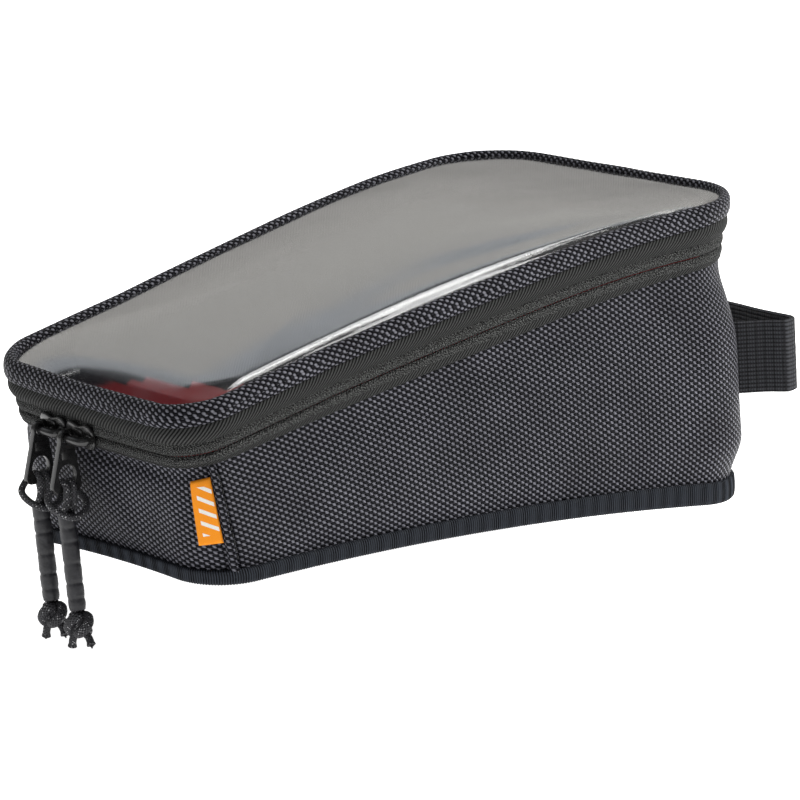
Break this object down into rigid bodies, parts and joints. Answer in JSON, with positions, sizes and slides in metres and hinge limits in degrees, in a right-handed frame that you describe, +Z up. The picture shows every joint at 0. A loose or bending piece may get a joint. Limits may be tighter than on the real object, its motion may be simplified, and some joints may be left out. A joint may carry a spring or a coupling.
{
  "type": "motorcycle tank bag",
  "caption": "Wedge-shaped zipped tank bag with a clear phone window in its lid, an arched magnetic base, cord zip pulls and a webbing tether loop.",
  "frame": {"origin": "middle of the flat facet under the arched base, where the magnets hold the bag on a tank", "axes": "+Y towards the tall, wide end with the webbing loop, -Y towards the low end where the zip sliders meet, +Z up, away from the tank"},
  "size_m": [0.1452, 0.2913, 0.1368],
  "materials": {
    "nylon": "black ballistic nylon, coarse basket weave with a slight sheen",
    "tape": "black twill zip tape",
    "binding": "ribbed grosgrain binding",
    "coil": "black nylon coil",
    "black_metal": "gloss black enamel on die-cast zinc",
    "lining": "dark red coated lining",
    "pocket": "black ribbed pocket fabric",
    "window": "clear flexible vinyl film",
    "foam": "closed-cell foam",
    "board": "polyethylene board",
    "magnet": "nickel-plated neodymium disc",
    "label": "orange woven label",
    "cord": "black braided cord with light flecks",
    "sleeve": "satin black heat-shrink tube",
    "webbing": "black ribbed polypropylene webbing"
  },
  "bodies": {
    "bag": {"base_panel": "nylon", "base_foam": "foam", "base_board": "board", "lining_floor": "lining", "magnet_front_near": "magnet", "magnet_front_far": "magnet", "magnet_rear_near": "magnet", "magnet_rear_far": "magnet", "base_binding": "binding", "shell_wrap": "nylon", "front_panel": "nylon", "wall_foam": "foam", "lining_wall": "lining", "label_tab": "label", "zip_tape_lower": "tape", "zip_coil_lower": "coil", "zip_end_lower_near": "tape", "zip_end_lower_far": "tape", "hinge_strip_lower": "tape", "webbing_loop": "webbing", "bar_tack_near": "webbing", "bar_tack_far": "webbing"},
    "lid": {"zip_tape_upper": "tape", "zip_coil_upper": "coil", "zip_end_upper_near": "tape", "zip_end_upper_far": "tape", "hinge_strip_upper": "tape", "lid_welt": "nylon", "lid_binding": "binding", "window": "window", "pocket_sheet": "pocket"},
    "right_slider": {"slider_right": "black_metal"},
    "left_slider": {"slider_left": "black_metal"},
    "right_puller": {"puller_right": "black_metal"},
    "left_puller": {"puller_left": "black_metal"},
    "right_pull": {"pull_cord_right": "cord", "pull_sleeve_right": "sleeve", "pull_knot_right": "cord"},
    "left_pull": {"pull_cord_left": "cord", "pull_sleeve_left": "sleeve", "pull_knot_left": "cord"}
  },
  "joints": [
    {"name": "lid_opens", "type": "hinge", "parent": "bag", "child": "lid", "pos_m": [0, 0.1137, 0.0845], "axis": [-1, 0, 0], "range_deg": [0, 105]},
    {"name": "right_slider_runs", "type": "hinge", "parent": "bag", "child": "right_slider", "pos_m": [0.00453, 0.47673, 0.18404], "axis": [0.03, -0.2339, 0.9718], "range_deg": [0, 2.4]},
    {"name": "left_slider_runs", "type": "hinge", "parent": "bag", "child": "left_slider", "pos_m": [0.00453, 0.47673, 0.18404], "axis": [0.03, -0.2339, 0.9718], "range_deg": [-0.9, 0]},
    {"name": "right_puller_swings", "type": "hinge", "parent": "right_slider", "child": "right_puller", "pos_m": [-0.00689, -0.13471, 0.03679], "axis": [-1, 0, 0], "range_deg": [-4, 110]},
    {"name": "left_puller_swings", "type": "hinge", "parent": "left_slider", "child": "left_puller", "pos_m": [-0.0218, -0.13439, 0.03732], "axis": [-1, 0, 0], "range_deg": [-4, 110]},
    {"name": "right_cord_swings", "type": "hinge", "parent": "right_puller", "child": "right_pull", "pos_m": [-0.00689, -0.13471, 0.02399], "axis": [-1, 0, 0], "range_deg": [-12, 60]},
    {"name": "left_cord_swings", "type": "hinge", "parent": "left_puller", "child": "left_pull", "pos_m": [-0.0218, -0.13439, 0.02452], "axis": [-1, 0, 0], "range_deg": [-12, 60]}
  ]
}
